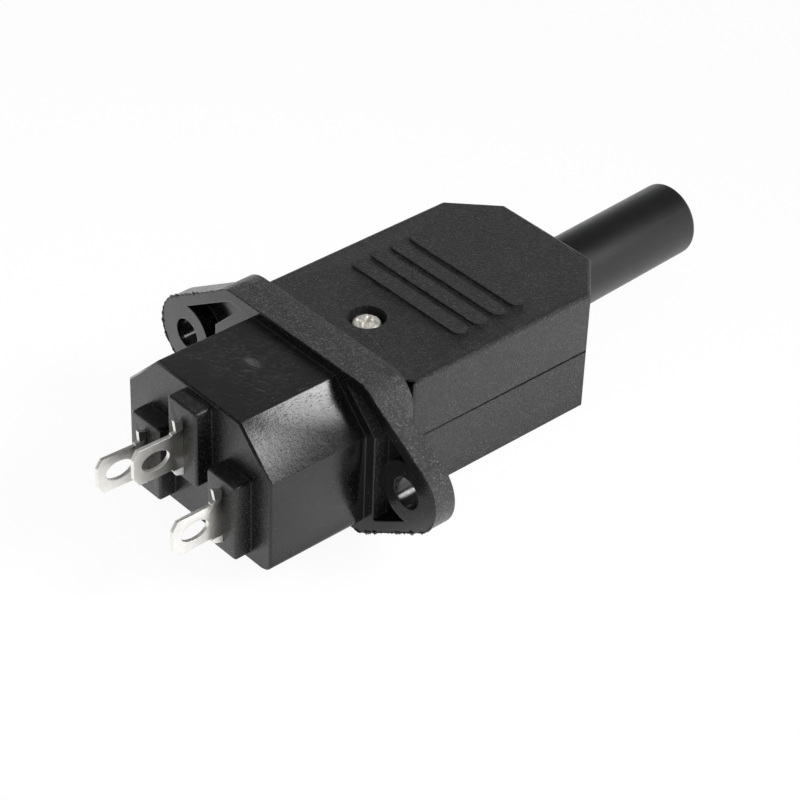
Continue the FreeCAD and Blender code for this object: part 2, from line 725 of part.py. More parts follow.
def make_upper_shell():
    body = make_shell("upper_shell", True)
    bore = circle(new_sketch(body, "screw_bore", "XY_Plane", "half_height"),
                  "shell_screw_x", "0", "shell_bore_diameter / 2")
    pocket(body, bore, "shell_screw_depth + shell_screw_head_height")
    shank = circle(new_sketch(body, "screw_shank", "XY_Plane", "half_height"),
                   "shell_screw_x", "0", "shell_screw_clearance / 2")
    pocket(body, shank, "half_height")
    return body


def make_lower_shell():
    """Half that carries the terminals and the cord clamp on its bosses."""
    body = make_shell("lower_shell", False)
    floor = f"(0 - {INNER_HEIGHT})"
    for name in CONTACTS:
        x, y = screw_place(name)
        post = new_sketch(body, f"{name}_post", "XY_Plane", floor)
        half_x, half_y = "(foot_length / 2)", "(foot_width / 2)"
        rectangle(post, f"{x} - {half_x}", f"{x} + {half_x}", f"{y} - {half_y}", f"{y} + {half_y}")
        pad(body, post, f"{PINS[name][1]} - contact_height / 2 - {floor}")
        well = new_sketch(body, f"{name}_well", "XY_Plane", f"{PINS[name][1]} - contact_height / 2")
        circle(well, x, y, "terminal_screw_shank / 2 + screw_clearance")
        pocket(body, well, "terminal_screw_length")

    saddle = new_sketch(body, "saddle", "XY_Plane", floor)
    rectangle(saddle, "clamp_x - clamp_thickness / 2", "clamp_x + clamp_thickness / 2",
              f"0 - {CLAMP_SCREW_Y}", CLAMP_SCREW_Y)
    pad(body, saddle, f"{INNER_HEIGHT} - clamp_arch_radius / 2")
    bosses = new_sketch(body, "clamp_bosses", "XY_Plane", floor)
    for side in ("", "0 - "):
        circle(bosses, "clamp_x", f"{side}{CLAMP_SCREW_Y}", "clamp_boss_diameter / 2")
    pad(body, bosses, f"{INNER_HEIGHT} + clamp_seat_z")
    groove = new_sketch(body, "cord_groove", "YZ_Plane", "clamp_x - clamp_thickness")
    circle(groove, "0", "0", "clamp_arch_radius")
    pocket(body, groove, "clamp_thickness * 2", reverse=True)

    pilots = new_sketch(body, "pilots", "XY_Plane", "clamp_seat_z")
    for side in ("", "0 - "):
        circle(pilots, "clamp_x", f"{side}{CLAMP_SCREW_Y}", "clamp_screw_shank / 2")
    pocket(body, pilots, "clamp_screw_length - clamp_height")
    shell_pilot = new_sketch(body, "shell_pilot", "XY_Plane")
    circle(shell_pilot, "shell_screw_x", "0", "shell_screw_shank / 2")
    grip = "shell_screw_length + shell_screw_depth + shell_screw_head_height - half_height"
    pocket(body, shell_pilot, grip)
    return body


def make_cord_clamp():
    """Bar across the cord, arched where it presses and drilled for its two screws."""
    body = new_body("cord_clamp", "0", "clamp_seat_z", "clamp_x")
    bar = new_sketch(body, "bar", "YZ_Plane")
    rectangle(bar, f"0 - {CLAMP_HALF}", CLAMP_HALF, "0", "clamp_height", "front_corner_radius")
    pad(body, bar, "clamp_thickness", symmetric=True)
    arch = new_sketch(body, "arch", "YZ_Plane", "0 - clamp_thickness")
    circle(arch, "0", "0 - clamp_seat_z", "clamp_arch_radius")
    pocket(body, arch, "clamp_thickness * 2", reverse=True)
    holes = new_sketch(body, "clamp_holes", "XY_Plane", "clamp_height")
    for side in ("", "0 - "):
        circle(holes, "0", f"{side}{CLAMP_SCREW_Y}", "clamp_screw_shank / 2 + screw_clearance / 2")
    pocket(body, holes, "clamp_height")
    return body


def make_cable_boot():
    """Rubber sleeve with a collar trapped behind the housing's rear wall."""
    body = new_body("cable_boot")
    half = new_sketch(body, "boot_half", "XZ_Plane")
    bore, skin, collar = "boot_bore / 2", "boot_diameter / 2", "boot_collar_diameter / 2"
    end_x = f"({REAR_X} + boot_length)"
    outline(half, [
        (f"{COLLAR_X} - boot_collar_thickness", bore),
        (end_x, bore),
        (end_x, f"{skin} - boot_lip_bevel"),
        (f"{end_x} - boot_lip_bevel", skin),
        (COLLAR_X, skin),
        (COLLAR_X, collar),
        (f"{COLLAR_X} - boot_collar_thickness", collar),
    ])
    turned = body.newObject("PartDesign::Revolution", "boot_turned")
    turned.Profile = half
    turned.ReferenceAxis = (half, ["H_Axis"])
    turned.Angle = 360
    doc.recompute()
    return body


def make_all():
    bodies = [make_inlet_body()]
    bodies += [make_inlet_pin(name) for name in PINS]
    bodies += [make_contact_block(), make_upper_shell(), make_lower_shell()]
    for name in CONTACTS:
        bodies.append(make_contact(name))
        x, y = screw_place(name)
        seat = f"{PINS[name][1]} - contact_height / 2 + foot_thickness"
        bodies.append(make_wire_plate(f"wire_plate_{name}", x, y, seat))
        bodies.append(make_screw(f"terminal_screw_{name}", "terminal_screw", x, y,
                                 f"{seat} + wire_plate_thickness", "slot"))
    head_seat = "half_height - shell_screw_depth - shell_screw_head_height"
    bodies.append(make_screw("shell_screw", "shell_screw", "shell_screw_x", "0", head_seat, "cross"))
    bodies.append(make_cord_clamp())
    for name, side in (("left", ""), ("right", "0 - ")):
        bodies.append(make_screw(f"clamp_screw_{name}", "clamp_screw", "clamp_x",
                                 f"{side}{CLAMP_SCREW_Y}", "clamp_seat_z + clamp_height", "cross"))
    bodies.append(make_cable_boot())
    return bodies


bodies = make_all()
doc.recompute()
for thing in doc.Objects:
    if {"Invalid", "Error"} & set(thing.State):
        raise RuntimeError(f"{thing.Label} failed: {thing.State}")
os.makedirs("parts", exist_ok=True)
for body in bodies:
    shape = body.Shape
    if shape.isNull() or not shape.isValid() or len(shape.Solids) != 1:
        raise RuntimeError(f"{body.Label} is not one valid solid")
    shape.exportStep(os.path.join("parts", f"{body.Label}.step"))
    box = shape.BoundBox
    print(f"{body.Label}: {shape.Volume:.1f} mm3, X {box.XMin:.2f} to {box.XMax:.2f}, "
          f"Y {box.YMin:.2f} to {box.YMax:.2f}, Z {box.ZMin:.2f} to {box.ZMax:.2f}")
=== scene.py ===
import math

import bmesh
import bpy
from mathutils import Matrix, Vector, noise


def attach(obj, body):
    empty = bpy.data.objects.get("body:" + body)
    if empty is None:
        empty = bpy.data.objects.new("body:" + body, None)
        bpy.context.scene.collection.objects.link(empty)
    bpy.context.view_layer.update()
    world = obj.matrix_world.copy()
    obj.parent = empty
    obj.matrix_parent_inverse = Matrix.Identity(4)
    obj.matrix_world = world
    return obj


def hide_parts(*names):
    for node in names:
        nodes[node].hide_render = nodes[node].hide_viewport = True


# Looks of a cable connector plugged into its panel inlet. Lengths are in millimetres, times MM
# where a mesh or a lamp is made.

MM = 0.001

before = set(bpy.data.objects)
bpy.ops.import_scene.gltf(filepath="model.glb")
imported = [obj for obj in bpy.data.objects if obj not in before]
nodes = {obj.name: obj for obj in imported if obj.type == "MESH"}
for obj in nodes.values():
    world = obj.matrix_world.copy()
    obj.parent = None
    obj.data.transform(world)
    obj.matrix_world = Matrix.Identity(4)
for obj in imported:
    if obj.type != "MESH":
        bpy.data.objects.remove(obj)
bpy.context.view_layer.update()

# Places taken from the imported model, in millimetres.
FLANGE_HALF_HEIGHT = 10.65
FLANGE_SHOULDER = 12.2
EAR_RADIUS = 4.9
HOLE_OFFSET = 20.0
SCREW_X = 11.25
SHELL_TOP = 8.4
SHELL_CORNER_Y = 12.38
SHELL_CORNER_X = 6.9
BODY_TOP = 9.3
SHELL_REAR_X = 40.75
BOOT_REACH = 22.6
BLOCK_FACE_X = -16.25
TOOTH_X = BLOCK_FACE_X - 1.02
TAB_SHOULDER = 2.65

# Places and sizes of what the looks add to that model.
BOOT_LEAN = (0.9, 0.62, 0.65)
GATE_MARK = (-5.7, 0.4)
CORNER_STEP = 0.8
SEAM_GAP = 0.02
SEAM_GAP_REAR = 0.24
SEAM_FLARE_X = 8.0
SEAM_PINHOLE = 0.2
PINHOLE_END_X = 7.9
# Where the walls beside the hood's gap get painted shade.
GAP_SHADE_Y = 12.65
GAP_SHADE_FROM_X = 5.5
GAP_SHADE_TO_X = 7.27
UPPER_TOOTH_TWIST = (-0.30, 0.55, 0.0)
LOWER_TOOTH_TWIST = (-0.15, 0.60, -0.25)
LOWER_TOOTH_NOTCH = 0.42
TAB_BEND_LENGTH = 6.5
FLASH_HEIGHT = 0.36

# Widths of the eased edges.
FINE_EDGE = 0.07
BODY_EDGE = 0.11
BLOCK_EDGE = 0.12
BOOT_EDGE = 0.25

# Top of the cover screw: its pan edge and crown, the arms of its recess, and its wear.
HEAD_EDGE = 0.42
HEAD_CROWN = 0.10
RECESS_HALF_WIDTH = 0.36
RECESS_ARM = 1.25
RECESS_DEPTH = 0.60
BURR_HEIGHT = 0.20
WEAR_HEIGHT = 0.10

# Each pin's height, the twist of its teeth and how far its tab is bent up.
PIN_SHAPES = {
    "inlet_pin_live": (-3.0, 0.9, 0.30),
    "inlet_pin_neutral": (-3.0, 1.1, -0.05),
    "inlet_pin_earth": (2.55, 1.0, 0.18),
}


# ---------------------------------------------------------------- shader graphs


class Value:
    """Output of a shader node that can be used in sums, products and comparisons."""

    def __init__(self, graph, socket):
        self.graph = graph
        self.socket = socket

    def __add__(self, other):
        return self.graph.math("ADD", self, other)

    def __sub__(self, other):
        return self.graph.math("SUBTRACT", self, other)

    def __rsub__(self, other):
        return self.graph.math("SUBTRACT", other, self)

    def __mul__(self, other):
        return self.graph.math("MULTIPLY", self, other)

    def __truediv__(self, other):
        return self.graph.math("DIVIDE", self, other)

    def __pow__(self, other):
        return self.graph.math("POWER", self, other)

    def __gt__(self, other):
        return self.graph.math("GREATER_THAN", self, other)

    def __lt__(self, other):
        return self.graph.math("LESS_THAN", self, other)

    __radd__ = __add__
    __rmul__ = __mul__


class Nodes:
    """Node tree of a material or of the world."""

    def __init__(self, owner, output):
        owner.use_nodes = True
        self.tree = owner.node_tree
        self.tree.nodes.clear()
        self.output = self.tree.nodes.new(output)

    def node(self, kind, settings=None, inputs=None, out=0):
        """Adds a node: its settings first, then its inputs; returns the named output."""
        made = self.tree.nodes.new(kind)
        for name, setting in (settings or {}).items():
            setattr(made, name, setting)
        for name, value in (inputs or {}).items():
            if isinstance(value, Value):
                self.tree.links.new(value.socket, made.inputs[name])
            else:
                made.inputs[name].default_value = value
        return Value(self, made.outputs[out])

    def math(self, operation, *numbers):
        return self.node("ShaderNodeMath", {"operation": operation}, dict(enumerate(numbers)))

    def clamp(self, value):
        return self.node("ShaderNodeClamp", {}, {"Value": value})

    def blend(self, value, low, high):
        """0 below low, 1 above high and smooth between them."""
        return self.node("ShaderNodeMapRange", {"interpolation_type": "SMOOTHSTEP"},
                         {"Value": value, "From Min": low, "From Max": high})

    def near(self, value, centre, reach, soft):
        """1 within reach of the centre, and 0 beyond reach plus soft."""
        away = self.math("ABSOLUTE", value - centre)
        return 1 - self.blend(away, reach, reach + soft)

    def mix(self, factor, first, second):
        """Mix of two colours, which may be triples or links."""
        first, second = ((*c, 1) if isinstance(c, tuple) else c for c in (first, second))
        colours = {0: factor, 6: first, 7: second}
        return self.node("ShaderNodeMix", {"data_type": "RGBA"}, colours, 2)

    def seen_by(self, *kinds):
        """1 for rays of the named kinds, such as Camera."""
        path = [self.node("ShaderNodeLightPath", out=f"Is {kind} Ray") for kind in kinds]
        return self.clamp(sum(path[1:], path[0]))

    def end(self, shader):
        self.tree.links.new(shader.socket, self.output.inputs["Surface"])


class Graph(Nodes):
    """Node tree of one material, with the surface's place in millimetres."""

    def __init__(self, name):
        self.material = bpy.data.materials.new(name)
        super().__init__(self.material, "ShaderNodeOutputMaterial")
        place = self.node("ShaderNodeTexCoord", out="Object")
        self.place = self.node("ShaderNodeVectorMath", {"operation": "SCALE"},
                               {"Vector": place, "Scale": 1 / MM})
        self.x = self.node("ShaderNodeSeparateXYZ", {}, {"Vector": self.place}, "X")
        self.y = self.node("ShaderNodeSeparateXYZ", {}, {"Vector": self.place}, "Y")
        self.z = self.node("ShaderNodeSeparateXYZ", {}, {"Vector": self.place}, "Z")
        facing = self.node("ShaderNodeNewGeometry", out="Normal")
        self.up = self.node("ShaderNodeSeparateXYZ", {}, {"Vector": facing}, "Z")
        self.side = self.node("ShaderNodeSeparateXYZ", {}, {"Vector": facing}, "Y")
        self.ahead = self.node("ShaderNodeSeparateXYZ", {}, {"Vector": facing}, "X")

    def stretched(self, scale=(1, 1, 1), turn=(0, 0, 0), shift=(0, 0, 0)):
        """The place scaled and turned, for patterns that run along one direction."""
        return self.node("ShaderNodeMapping", {"vector_type": "TEXTURE"}, {
            "Vector": self.place, "Location": shift, "Rotation": tuple(map(math.radians, turn)),
            "Scale": tuple(1 / s for s in scale)})

    def noise(self, scale, detail=2.0, rough=0.5, vector=None):
        return self.node("ShaderNodeTexNoise", {}, {
            "Vector": vector or self.place, "Scale": scale, "Detail": detail,
            "Roughness": rough}, "Fac")

    def cells(self, scale, out="Distance"):
        return self.node("ShaderNodeTexVoronoi", {"feature": "F1"}, {
            "Vector": self.place, "Scale": scale, "Randomness": 1.0}, out)

    def draw(self, scale):
        """Random level from 0 to 1, the same all over each cell."""
        colour = self.cells(scale, "Color")
        return self.node("ShaderNodeSeparateColor", {}, {"Color": colour}, "Red")

    def specks(self, scale, share, size):
        """Sparse dots: share of the cells that carry one, and the dot's radius in cells."""
        distance = self.cells(scale)
        return (1 - self.blend(distance, size * 0.55, size)) * (self.draw(scale) < share)

    def sparkle(self, scale):
        """Random level from 0 to 1 in each cell, mostly low."""
        return self.draw(scale) ** 5

    def rounded(self, radius):
        """Normal with the model's edges eased by a radius in millimetres."""
        return self.node("ShaderNodeBevel", {"samples": 6}, {"Radius": radius * MM})

    def bump(self, height, depth, radius):
        """Normal of a surface raised by height times depth in mm, its edges eased by a radius."""
        return self.node("ShaderNodeBump", {}, {
            "Height": height, "Distance": depth * MM, "Strength": 1.0,
            "Normal": self.rounded(radius)})

    def finish(self, **inputs):
        """Ends the graph in a Principled shader; names use _ for the spaces of its sockets."""
        named = {name.replace("_", " "): value for name, value in inputs.items()}
        for name, value in named.items():
            if isinstance(value, tuple) and len(value) == 3:
                named[name] = (*value, 1)
        self.end(self.node("ShaderNodeBsdfPrincipled", {}, named))
        return self.material


# ---------------------------------------------------------------- finishes


def housing_finish():
    """Charcoal moulding with a fine spark-eroded grain, some dust, and painted shade in its front
    gap.
    """
    g = Graph("housing_grain")
    grain = g.noise(5.5, 2.0, 0.6)
    pits = 1 - g.blend(g.cells(5.0), 0.10, 0.45)
    normal = g.bump(grain + pits * 0.5, 0.15, 0.1)
    dust = g.specks(2.3, 0.16, 0.19) + g.specks(1.2, 0.06, 0.11)
    film = g.blend(g.noise(0.35, 3.0), 0.45, 0.75)
    colour = g.mix(g.clamp(g.sparkle(5.5) + film * 0.2),
                   (0.0060, 0.0061, 0.0070), (0.0560, 0.0560, 0.0590))
    colour = g.mix(g.clamp(dust * 0.6), colour, (0.32, 0.32, 0.32))
    # Painted shade: the walls beside the hood's gap are coloured near black and made metallic, in
    # place of the shadow deep in that gap.
    gap = g.near(g.math("ABSOLUTE", g.y), GAP_SHADE_Y, 0.42, 0.05)
    gap = gap * (g.x < GAP_SHADE_TO_X) * (g.x > GAP_SHADE_FROM_X)
    gap = gap * (g.up < 0.8)
    colour = g.mix(gap, colour, (0.002, 0.002, 0.002))
    rough = 0.34 + 0.12 * grain + 0.05 * film
    return g.finish(Base_Color=colour, Metallic=gap, Roughness=g.clamp(rough), Normal=normal)


def inlet_finish():
    """Black moulding: glossy and scuffed on the body, grained on the flange's outside."""
    g = Graph("inlet_moulding")
    fine = g.noise(5.5, 2.0, 0.6)
    medium = g.noise(1.8, 3.0, 0.55)
    broad = g.noise(0.28, 3.0, 0.6)
    outward = g.side * g.y + g.up * g.z
    from_hole = g.math("SQRT", (g.math("ABSOLUTE", g.y) - HOLE_OFFSET) ** 2 + g.z ** 2)
    band = g.blend(g.x, 0.02, 0.2) * g.blend(outward, 1.0, 3.0) * (from_hole > 3.0)
    behind = 1 - g.blend(g.x, -14.05, -13.9)
    slope = g.near(g.math("ABSOLUTE", g.side), 0.70, 0.12, 0.12) * g.near(g.up, 0.70, 0.12, 0.12)
    slope = slope * (g.x < 0.0)
    top = g.blend(g.up, 0.9, 0.97) * (g.x < 0.0)
    rubs = g.blend(g.noise(1.0, 4.0, 0.75, g.stretched((0.8, 12.0, 12.0), (0, 0, 8))), 0.58, 0.74)
    along = g.stretched((0.30, 12.0, 12.0), (0, 0, -17))
    across = g.stretched((11.0, 0.4, 11.0), (0, 0, 24), (3, 5, 1))
    hairs = g.blend(g.noise(1.0, 2.0, 0.5, along), 0.67, 0.71)
    hairs_across = g.blend(g.noise(1.0, 2.0, 0.5, across), 0.66, 0.71)
    scuffed = g.blend(g.noise(0.16, 2.0, 0.5, g.stretched(shift=(4, 1, 0))), 0.42, 0.62)
    away = g.math("SQRT", ((g.x - GATE_MARK[0]) / 0.75) ** 2 + ((g.y - GATE_MARK[1]) / 1.3) ** 2)
    gate = (1 - g.blend(away + medium * 0.6, 0.95, 1.5)) * top
    around = (1 - g.blend(away, 2.0, 8.0)) * top
    scuffs = g.clamp((hairs + hairs_across) * (0.25 + 0.75 * scuffed + around))
    halo = around * g.blend(medium, 0.45, 0.70)
    dust = g.specks(1.7, 0.12, 0.14)
    grained = g.clamp(band + behind * 0.3 + 0.05)
    waves = broad * (1 - grained) * (0.3 - 0.2 * slope)
    height = fine * grained * 1.2 + medium * 0.06 + waves + rubs * slope * 0.06
    normal = g.bump(height - scuffs * 0.25, 0.12, 0.20)
    plain = g.mix(g.clamp(band + top * 0.5), (0.0070, 0.0070, 0.0078), (0.0270, 0.0265, 0.0272))
    colour = g.mix(g.clamp(g.sparkle(5.5) * grained + gate * 0.2), plain, (0.1300, 0.1300, 0.1400))
    worn = g.clamp(scuffs * 0.7 + gate * medium * 0.6 + halo * 0.16)
    colour = g.mix(worn, colour, (0.15, 0.15, 0.155))
    colour = g.mix(dust * 0.6, colour, (0.28, 0.28, 0.28))
    rough = 0.13 + grained * 0.26 + medium * 0.05 + rubs * slope * 0.12 + scuffs * 0.2 + top * 0.18
    return g.finish(Base_Color=colour, Roughness=g.clamp(rough + gate * 0.2), Normal=normal)


def rubber_finish():
    """Smooth black rubber with a faint bloom and drag marks along its length."""
    g = Graph("boot_rubber_skin")
    drag = g.noise(1.0, 3.0, 0.6, g.stretched((0.12, 3.5, 3.5)))
    fine = g.noise(5.0, 3.0, 0.6)
    bloom = g.blend(g.noise(0.4, 3.0), 0.4, 0.8)
    dust = g.specks(1.5, 0.08, 0.12)
    normal = g.bump(drag * 0.4 + fine * 0.5, 0.035, 0.15)
    colour = g.mix(bloom * 0.6, (0.0060, 0.0060, 0.0068), (0.0105, 0.0105, 0.0112))
    colour = g.mix(dust * 0.5, colour, (0.24, 0.24, 0.24))
    return g.finish(Base_Color=colour, Roughness=g.clamp(0.41 + 0.08 * drag + 0.05 * bloom),
                    Normal=normal)


def tin_finish():
    """Bright tin plate: rolled faces, rough where the punch sheared it, with painted shade at each
    block.
    """
    g = Graph("tin_plate")
    rolled = g.noise(1.0, 3.0, 0.6, g.stretched((0.6, 14.0, 9.0)))
    cloud = g.noise(0.9, 3.0, 0.6)
    sheared = 1 - g.blend(g.math("ABSOLUTE", g.side), 0.5, 0.8)
    stripes = g.noise(1.0, 2.0, 0.5, g.stretched((9.0, 0.8, 9.0)))
    normal = g.bump(rolled * 0.35 + sheared * stripes * 1.2 + cloud * 0.3, 0.02, 0.08)
    # Painted shade: the tab is coloured darker next to its block, standing in for the dark block it
    # mirrors, and the teeth's upward flats near black, in place of the bright floor they would
    # mirror.
    painted_block_shade = g.blend(g.x + (cloud - 0.5) * 1.2, TOOTH_X - 1.6, TOOTH_X - 0.4)
    painted_block_shade = painted_block_shade * g.blend(g.up, -0.12, -0.04) * (1 - sheared)
    colour = g.mix(g.blend(cloud, 0.35, 0.7), (0.90, 0.89, 0.84), (0.99, 0.98, 0.95))
    colour = g.mix(painted_block_shade * 0.75, colour, (0.24, 0.235, 0.21))
    colour = g.mix(painted_block_shade * g.blend(g.up, 0.05, 0.18) * 0.9, colour, (0.02, 0.02, 0.02))
    rough = 0.22 + rolled * 0.16 + sheared * 0.14 + cloud * 0.06
    return g.finish(Base_Color=colour, Metallic=0.86, Roughness=g.clamp(rough), Normal=normal)


def brass_finish():
    """Plain stamped brass of the contacts, dulled where it was rolled."""
    g = Graph("contact_brass_sheet")
    rolled = g.noise(1.0, 3.0, 0.6, g.stretched((0.5, 8.0, 8.0)))
    stain = g.blend(g.noise(0.8, 4.0, 0.6), 0.4, 0.75)
    colour = g.mix(stain, (0.80, 0.60, 0.28), (0.62, 0.43, 0.20))
    normal = g.bump(rolled, 0.01, 0.08)
    rough = 0.24 + 0.14 * rolled + 0.1 * stain
    return g.finish(Base_Color=colour, Metallic=1.0, Roughness=g.clamp(rough), Normal=normal)


def nickel_finish():
    """Nickel plate with the bright and dull patches that a driver leaves."""
    g = Graph("nickel_plate")
    worn = g.blend(g.noise(3.2, 3.0, 0.6), 0.42, 0.62)
    fine = g.noise(12.0, 2.0)
    colour = g.mix(worn, (0.84, 0.80, 0.72), (0.98, 0.96, 0.90))
    normal = g.bump(fine * 0.5 + worn * 0.6, 0.02, 0.05)
    rough = 0.24 + 0.16 * fine + 0.1 * worn
    return g.finish(Base_Color=colour, Metallic=0.40, Roughness=g.clamp(rough), Normal=normal)


housing = housing_finish()
inlet = inlet_finish()
rubber = rubber_finish()
tin = tin_finish()
brass = brass_finish()
nickel = nickel_finish()


# ---------------------------------------------------------------- pieces


def add_piece(name, mesh, material, body, slot, *stands_for):
    """Adds a mesh as a piece that rides on a body and, if named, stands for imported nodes."""
    mesh.name = name
    mesh.materials.clear()
    mesh.materials.append(material)
    piece = bpy.data.objects.new(name, mesh)
    bpy.context.scene.collection.objects.link(piece)
    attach(piece, body)
    if stands_for:
        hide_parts(*stands_for)
    return piece


def as_mesh(bm, sharp=32):
    """Plain mesh of the built shape, smooth but for edges sharper than an angle in degrees."""
    mesh = bpy.data.meshes.new("built")
    bm.to_mesh(mesh)
    bm.free()
    mesh.shade_smooth()
    mesh.set_sharp_from_angle(angle=math.radians(sharp))
    return mesh


def joined(name):
    """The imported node's shape with its loose triangles joined and its flat faces whole."""
    bm = bmesh.new()
    bm.from_mesh(nodes[name].data)
    same_place, flat_angle = 0.002 * MM, math.radians(0.4)
    bmesh.ops.remove_doubles(bm, verts=bm.verts, dist=same_place)
    bmesh.ops.dissolve_limit(bm, angle_limit=flat_angle, verts=bm.verts, edges=bm.edges)
    return bm


def ease_edges(piece, width, angle=38, segments=2):
    """Rounds the edges that are sharper than an angle; the width is in millimetres."""
    bevel = piece.modifiers.new("eased_edges", "BEVEL")
    bevel.width = width * MM
    bevel.segments = segments
    bevel.limit_method = "ANGLE"
    bevel.angle_limit = math.radians(angle)
    bevel.miter_outer = "MITER_ARC"


def dress(name, material):
    """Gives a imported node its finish."""
    mesh = nodes[name].data
    mesh.materials.clear()
    mesh.materials.append(material)


def rebuild(name, material, body, slot, width, change=None, **options):
    """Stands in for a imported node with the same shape, its edges eased."""
    bm = joined(name)
    if change is not None:
        change(bm)
    piece = add_piece(f"{name}_skin", as_mesh(bm), material, body, slot, name)
    ease_edges(piece, width, **options)


def cut(bm, place, across):
    """Splits the faces that cross a plane, so that the parts beside it can be moved apart."""
    whole = bm.verts[:] + bm.edges[:] + bm.faces[:]
    bmesh.ops.bisect_plane(bm, geom=whole, dist=0.001 * MM, plane_co=Vector(place) * MM,
                           plane_no=across)


def twist_teeth(height, twist, lift):
    """Returns a change that bends a tab's tip up and twists the teeth staked against its block."""
    def change(bm):
        for side in (-1, 1):
            cut(bm, (0, 0, height + side * TAB_SHOULDER), (0, 0, 1))
        for vert in bm.verts:
            place = vert.co / MM
            off = place.z - height
            if TOOTH_X < place.x < BLOCK_FACE_X - 0.1:
                if off > TAB_SHOULDER + 0.3:
                    place += Vector(UPPER_TOOTH_TWIST) * twist
                elif off < -TAB_SHOULDER - 0.3:
                    place += Vector(LOWER_TOOTH_TWIST) * twist
                elif off < -TAB_SHOULDER + 0.01:
                    place.x -= LOWER_TOOTH_NOTCH
            bent = max(0.0, (BLOCK_FACE_X - 0.5 - place.x) / TAB_BEND_LENGTH)
            place.z += lift * bent
            vert.co = place * MM
    return change


def lean_boot(bm):
    """The soft boot leans a little where it has left the housing's rear wall."""
    for vert in bm.verts:
        out = (vert.co.x / MM - SHELL_REAR_X) / BOOT_REACH
        if out > 0:
            vert.co += Vector(BOOT_LEAN) * out * MM


def at_corner(place, reach_x):
    """Tells whether a place is in a front corner of the housing, at the seam or above it."""
    return place.x < reach_x and abs(place.y) > SHELL_CORNER_Y - 0.03 and place.z > -0.2


def draw_back_corners(bm):
    """Steps the rounded corners of the housing's front back, so that a gap shows at the hood."""
    for side in (-1, 1):
        cut(bm, (0, side * (SHELL_CORNER_Y - 0.08), 0), (0, 1, 0))
        cut(bm, (0, side * SHELL_CORNER_Y, 0), (0, 1, 0))
    for vert in bm.verts:
        if at_corner(vert.co / MM, SHELL_CORNER_X):
            vert.co.x += CORNER_STEP * MM


def open_seam(bm):
    """The lower half's edge sits a little low, more so at the rear, so that the seam shows."""
    draw_back_corners(bm)
    cut(bm, (PINHOLE_END_X, 0, 0), (1, 0, 0))
    for vert in bm.verts:
        place = vert.co / MM
        if abs(place.z) < 0.01:
            rear = max(0.0, (place.x - SEAM_FLARE_X) / (SHELL_REAR_X - SEAM_FLARE_X))
            vert.co.z -= (SEAM_GAP + (SEAM_GAP_REAR - SEAM_GAP) * rear) * MM
        if at_corner(place, SHELL_CORNER_X + CORNER_STEP):
            vert.co.z -= SEAM_PINHOLE * MM


def screw_surface(x, y, reach):
    """Height of a screw head's top at a place on it: pan edge, cross recess, burrs and wear."""
    r = math.hypot(x, y)
    height = -HEAD_CROWN * (r / reach) ** 2
    if r > reach - HEAD_EDGE:
        height -= HEAD_EDGE - math.sqrt(max(0.0, HEAD_EDGE ** 2 - (r - reach + HEAD_EDGE) ** 2))
    depth = 0.0
    for along, across in ((x, y), (y, x)):
        half = RECESS_HALF_WIDTH - 0.10 * abs(along)
        inside = min(1.0, max(0.0, (half - abs(across)) / 0.12))
        length = min(1.0, max(0.0, (RECESS_ARM - abs(along)) / 0.2))
        depth = max(depth, inside * length * (RECESS_DEPTH - 0.25 * abs(along)))
        lip = math.exp(-((abs(across) - half - 0.12) / 0.10) ** 2) * length
        burr = max(0.0, noise.noise(Vector((x * 3.5, y * 3.5, 3.0))) + 0.2)
        height += BURR_HEIGHT * lip * burr
    wear = noise.noise(Vector((x * 3.1, y * 3.1, 10.0)))
    wear += 0.5 * noise.noise(Vector((x * 7, y * 7, 4.0)))
    return height - depth + WEAR_HEIGHT * wear * min(1.0, (reach - r) / 0.3)


def make_screw(centre, top, reach, seat, shank, tip, turn):
    """Cross-head screw: sampled top, turned side and shank. Lengths are in millimetres."""
    rings, spokes = 30, 112
    bm = bmesh.new()

    def ring(radius, height):
        verts = []
        for i in range(spokes):
            angle = math.tau * i / spokes
            x, y = radius * math.cos(angle), radius * math.sin(angle)
            level = height
            if level is None:
                c, s = math.cos(turn), math.sin(turn)
                level = top + screw_surface(c * x + s * y, c * y - s * x, reach)
            verts.append(bm.verts.new(Vector((centre[0] + x, centre[1] + y, level)) * MM))
        return verts

    loops = [ring(reach * (i / rings) ** 0.9, None) for i in range(1, rings + 1)]
    loops += [ring(reach, seat), ring(shank, seat)]
    loops += [ring(shank, tip + shank), ring(shank * 0.5, tip)]
    for inner, outer in zip(loops, loops[1:]):
        for i in range(spokes):
            j = (i + 1) % spokes
            bm.faces.new((inner[i], outer[i], outer[j], inner[j]))
    hub = bm.verts.new(Vector((*centre, top + screw_surface(0, 0, reach))) * MM)
    for i in range(spokes):
        bm.faces.new((hub, loops[0][i], loops[0][(i + 1) % spokes]))
    bm.faces.new(loops[-1][::-1])
    bmesh.ops.recalc_face_normals(bm, faces=bm.faces)
    return as_mesh(bm, 50)


def flange_line():
    """Closed line along the rear edge of the flange, in millimetres on the plane x = 0."""
    shoulder = Vector((FLANGE_SHOULDER, FLANGE_HALF_HEIGHT))
    centre = Vector((HOLE_OFFSET, 0.0))
    to_centre = centre - shoulder
    swing = math.asin(EAR_RADIUS / to_centre.length)
    reach = math.sqrt(to_centre.length ** 2 - EAR_RADIUS ** 2)
    along = to_centre.normalized()
    along.rotate(Matrix.Rotation(swing, 2))
    touch = shoulder + along * reach
    start = math.atan2(touch.y, touch.x - HOLE_OFFSET)
    steps = 24
    right = [shoulder, touch]
    for i in range(1, steps):
        angle = start * (1 - 2 * i / steps)
        right.append(centre + Vector((math.cos(angle), math.sin(angle))) * EAR_RADIUS)
    right += [Vector((touch.x, -touch.y)), Vector((shoulder.x, -shoulder.y))]
    left = [Vector((-p.x, p.y)) for p in reversed(right)]
    return [Vector((0.0, p.x, p.y)) for p in right + left]


